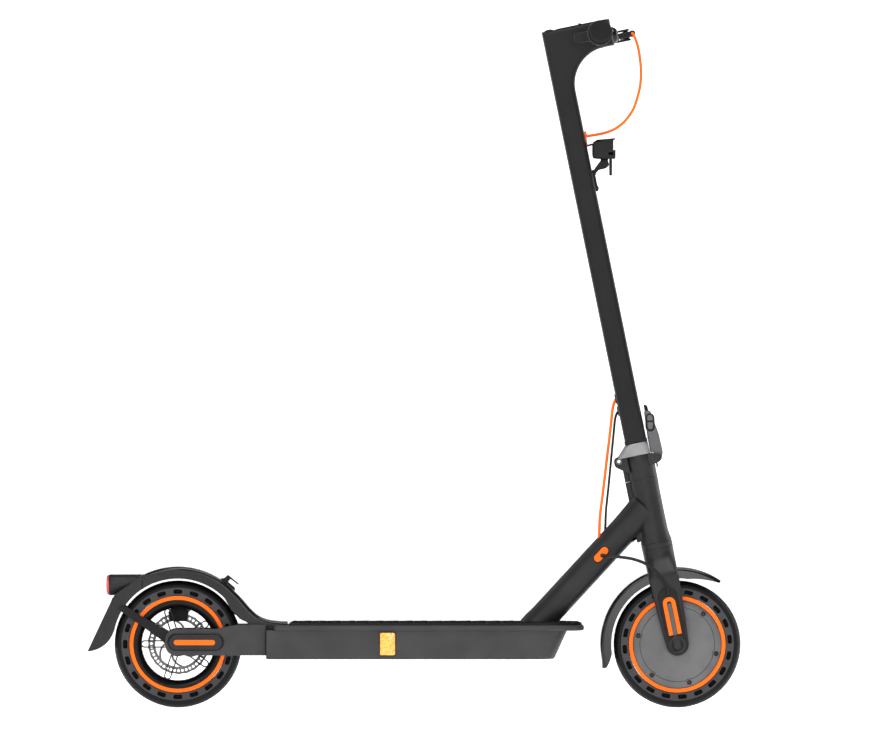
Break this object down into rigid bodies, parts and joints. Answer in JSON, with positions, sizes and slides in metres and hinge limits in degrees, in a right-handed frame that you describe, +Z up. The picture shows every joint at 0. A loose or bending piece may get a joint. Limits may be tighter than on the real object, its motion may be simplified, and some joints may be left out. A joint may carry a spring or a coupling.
{
  "type": "electric kick scooter",
  "caption": "Folding electric kick scooter: deck with battery, hub-motor front wheel, disc-braked rear wheel, hinged stem with bar, lamp and fenders.",
  "frame": {"origin": "on the ground, under the middle of the scooter's length and width", "axes": "+X forward, +Y to the rider's left, +Z up"},
  "size_m": [1.08, 0.43, 1.1393],
  "materials": {
    "dark_grey": "matt powder coat",
    "alu_frame": "aluminium with a matt dark grey powder coat",
    "mid_grey": "aluminium with a matt grey coat",
    "light_grey": "matt light grey",
    "stem_black": "aluminium with a satin black coat",
    "gloss_black": "polished black",
    "black_plastic": "fine grained moulding",
    "grip_rubber": "soft matt rubber",
    "mat_rubber": "moulded rubber",
    "tyre_rubber": "solid tyre rubber",
    "orange_plastic": "bright orange",
    "orange_cable": "orange cable jacket",
    "black_cable": "black cable jacket",
    "steel": "bare steel",
    "amber": "prismatic reflector",
    "red_lens": "clear red lens",
    "screen": "smoked cover",
    "battery_wrap": "shrink wrap"
  },
  "bodies": {
    "frame": {"deck_frame": "alu_frame", "deck_mat": "mat_rubber", "deck_bottom_cover": "alu_frame", "battery_pack": "battery_wrap", "motor_controller": "light_grey", "side_reflector_left": "amber", "side_reflector_right": "amber", "down_tube": "alu_frame", "head_tube": "alu_frame", "headset_bearing_lower": "steel", "headset_bearing_upper": "steel", "rear_axle": "steel", "rear_arm_left": "alu_frame", "rear_arm_right": "alu_frame", "rear_fender": "gloss_black", "mud_flap": "black_plastic", "taillight_housing": "black_plastic", "taillight_lens": "red_lens", "fender_hook": "black_plastic", "fender_stay": "dark_grey", "brake_caliper": "black_plastic", "kickstand_bracket": "alu_frame", "rear_brake_cable": "orange_cable", "signal_cable": "black_cable", "motor_cable": "black_cable", "caliper_cable": "black_cable"},
    "rear_wheel": {"rear_rim": "stem_black", "rear_tyre": "tyre_rubber", "rear_hub_bearings": "steel", "brake_rotor": "steel"},
    "steering": {"fork": "stem_black", "fold_base": "alu_frame", "hinge_pin": "steel", "front_fender": "gloss_black", "front_axle": "steel", "motor_stator": "steel"},
    "front_wheel": {"motor_shell": "mid_grey", "motor_cover": "mid_grey", "front_tyre": "tyre_rubber"},
    "stem": {"stem_collar": "light_grey", "stem_tube": "stem_black", "display": "screen", "handlebar": "stem_black", "grip_left": "grip_rubber", "grip_right": "grip_rubber", "brake_perch": "black_plastic", "throttle_body": "black_plastic", "bell": "black_plastic", "headlight_bracket": "black_plastic", "front_brake_cable": "orange_cable"},
    "lamp": {"headlight_housing": "black_plastic"},
    "latch": {"latch_lever": "mid_grey"},
    "catch": {"safety_catch": "black_plastic"},
    "brake_handle": {"brake_lever": "stem_black"},
    "caliper_lever": {"caliper_arm": "steel"},
    "throttle": {"throttle_paddle": "black_plastic"},
    "bell_thumb": {"bell_lever": "black_plastic"},
    "power_key": {"power_button": "orange_plastic"},
    "stand": {"kickstand_leg": "alu_frame"},
    "port_cap": {"charge_cap": "grip_rubber"}
  },
  "joints": [
    {"name": "rear_wheel_spin", "type": "hinge", "parent": "frame", "child": "rear_wheel", "pos_m": [-0.3906, 0, 0.105], "axis": [0, 1, 0], "continuous": true},
    {"name": "steering_turn", "type": "hinge", "parent": "frame", "child": "steering", "pos_m": [0.435, 0, 0.105], "axis": [-0.1994, 0, 0.9799], "range_deg": [-50, 50], "deforming": ["motor_cable"]},
    {"name": "front_wheel_spin", "type": "hinge", "parent": "steering", "child": "front_wheel", "pos_m": [0.435, 0, 0.105], "axis": [0, 1, 0], "continuous": true},
    {"name": "stem_fold", "type": "hinge", "parent": "steering", "child": "stem", "pos_m": [0.33882, 0, 0.40668], "axis": [0, -1, 0], "range_deg": [0, 92], "deforming": ["rear_brake_cable", "signal_cable"]},
    {"name": "lamp_tilt", "type": "hinge", "parent": "stem", "child": "lamp", "pos_m": [0.31479, 0, 0.89999], "axis": [0, 1, 0], "range_deg": [-12, 12]},
    {"name": "latch_open", "type": "hinge", "parent": "steering", "child": "latch", "pos_m": [0.40328, 0, 0.41388], "axis": [0, 1, 0], "range_deg": [0, 95]},
    {"name": "catch_slide", "type": "slide", "parent": "latch", "child": "catch", "axis": [0.1994, 0, -0.9799], "range_m": [0, 0.006], "stiffness_N_per_m": 400, "springref_m": -0.002},
    {"name": "brake_pull", "type": "hinge", "parent": "stem", "child": "brake_handle", "pos_m": [0.35203, 0.084, 1.11473], "axis": [-0.1994, 0, 0.9799], "range_deg": [0, 10], "stiffness_Nm_per_rad": 0.8, "springref_deg": -5.73},
    {"name": "caliper_pull", "type": "hinge", "parent": "frame", "child": "caliper_lever", "pos_m": [-0.3906, 0.043, 0.155], "axis": [0, 1, 0], "range_deg": [0, 10], "deforming": ["caliper_cable"]},
    {"name": "throttle_press", "type": "hinge", "parent": "stem", "child": "throttle", "pos_m": [0.30634, -0.072, 1.1136], "axis": [0, -1, 0], "range_deg": [0, 28], "stiffness_Nm_per_rad": 0.2, "springref_deg": -17.19},
    {"name": "bell_flick", "type": "hinge", "parent": "stem", "child": "bell_thumb", "pos_m": [0.30634, 0.056, 1.1136], "axis": [0, 1, 0], "range_deg": [0, 18], "stiffness_Nm_per_rad": 0.05, "springref_deg": -11.46},
    {"name": "power_press", "type": "slide", "parent": "stem", "child": "power_key", "axis": [0.1994, 0, -0.9799], "range_m": [0, 0.0012], "stiffness_N_per_m": 800, "springref_m": -0.001},
    {"name": "kickstand_swing", "type": "hinge", "parent": "frame", "child": "stand", "pos_m": [-0.1202, 0.0793, 0.096], "axis": [0, -0.9041, -0.4274], "range_deg": [0, 100]},
    {"name": "charge_cap_open", "type": "hinge", "parent": "frame", "child": "port_cap", "pos_m": [0.17, 0.0723, 0.1189], "axis": [1, 0, 0], "range_deg": [0, 90]}
  ],
  "couplings": [
    {"joint": "caliper_pull", "follows": "brake_pull", "ratio": 1}
  ]
}
